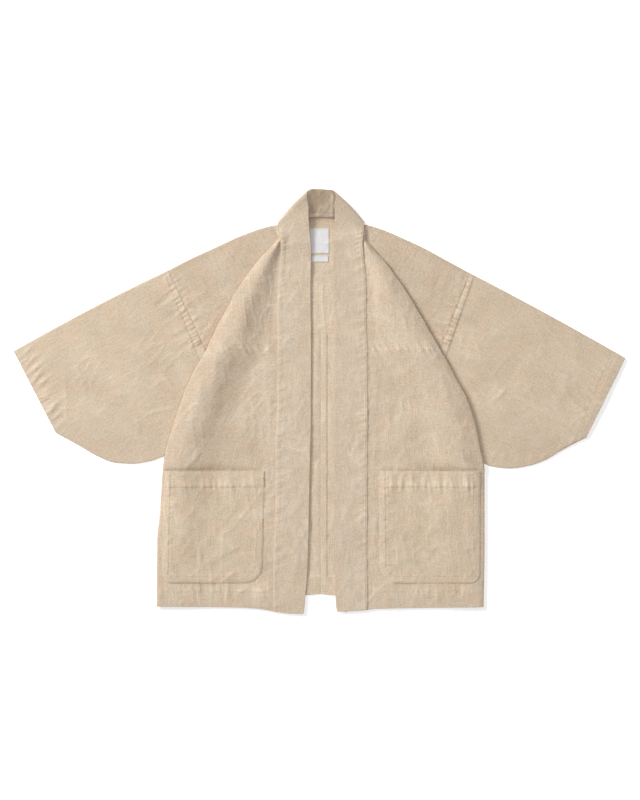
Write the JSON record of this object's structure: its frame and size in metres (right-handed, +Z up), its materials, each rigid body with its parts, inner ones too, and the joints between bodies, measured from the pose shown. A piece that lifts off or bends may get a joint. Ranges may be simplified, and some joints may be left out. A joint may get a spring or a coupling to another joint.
{
  "type": "happi coat",
  "caption": "Open-front happi coat of washed linen canvas with wide short sleeves, a straight collar band and patch pockets, laid flat on its back with the fronts open.",
  "frame": {"origin": "on the table, under the middle of the bounding box of the laid coat", "axes": "+Z up from the table, +Y from hem to collar, +X to the right of someone who looks down at the coat's front"},
  "size_m": [1.224, 0.853, 0.0206],
  "materials": {
    "linen_body": "washed slubby linen canvas, unbleached beige, matt",
    "linen_sleeve": "the same linen canvas, cut on the other grain, matt",
    "linen_band": "two layers of the same linen canvas with puckered topstitching, matt",
    "linen_pocket": "the same linen canvas, double stitched, matt",
    "label_cloth": "smooth white woven label, blank"
  },
  "bodies": {
    "root": {"yoke": "linen_body", "front_left": "linen_body", "front_right": "linen_body", "back_left": "linen_body", "back_right": "linen_body", "sleeve_left": "linen_sleeve", "sleeve_right": "linen_sleeve", "collar_band": "linen_band", "pocket_left": "linen_pocket", "pocket_right": "linen_pocket", "label_main": "label_cloth", "label_small": "label_cloth"}
  },
  "joints": []
}
